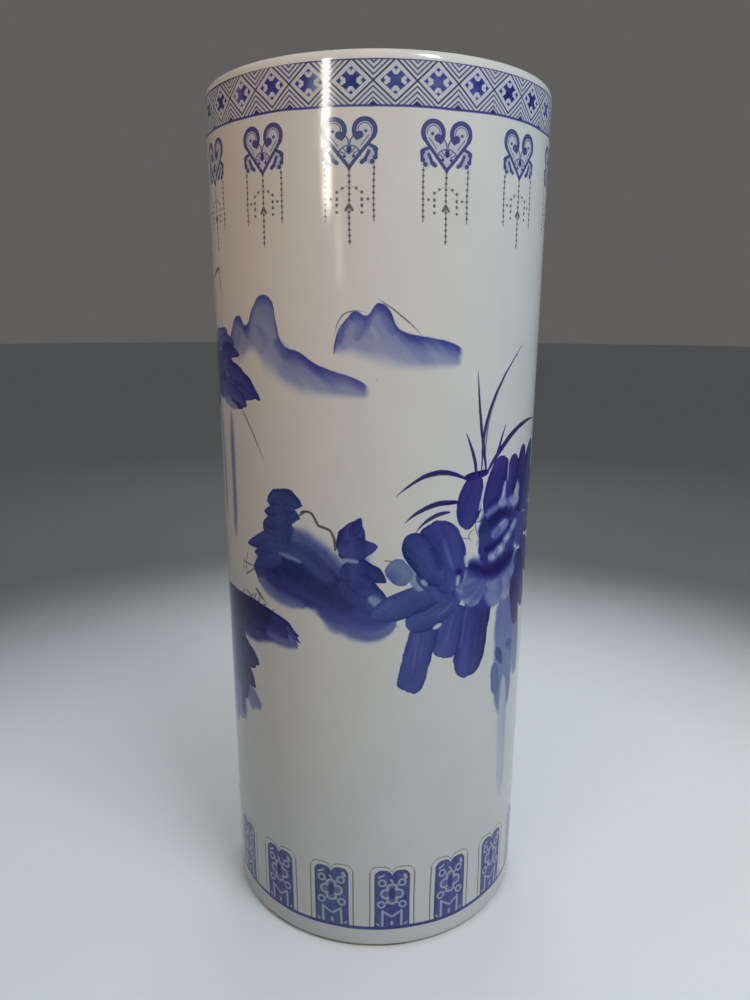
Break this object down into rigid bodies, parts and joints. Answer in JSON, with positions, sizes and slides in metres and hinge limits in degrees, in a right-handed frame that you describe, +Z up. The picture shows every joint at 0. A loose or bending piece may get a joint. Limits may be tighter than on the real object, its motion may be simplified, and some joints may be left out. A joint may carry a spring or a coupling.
{
  "type": "umbrella stand",
  "caption": "Tall glazed ceramic cylinder, open at the top to hold umbrellas upright, with a rounded lip, a flat foot ring and blue painted borders over a garden scene.",
  "frame": {"origin": "on the ground at the centre of the foot ring", "axes": "+Z up along the stand's axis; the pictured side faces -Y, with +X to its right"},
  "size_m": [0.243, 0.243, 0.61],
  "materials": {
    "painted_glaze": "clear gloss glaze over cobalt blue brushwork on a white body",
    "white_glaze": "clear gloss glaze on a white body, plain",
    "bare_clay": "unglazed fired clay, matt and slightly gritty"
  },
  "bodies": {
    "root": {"wall": "painted_glaze", "lip_ring": "white_glaze", "base_slab": "white_glaze", "corner_coil": "white_glaze", "foot_ring": "bare_clay"}
  },
  "joints": []
}
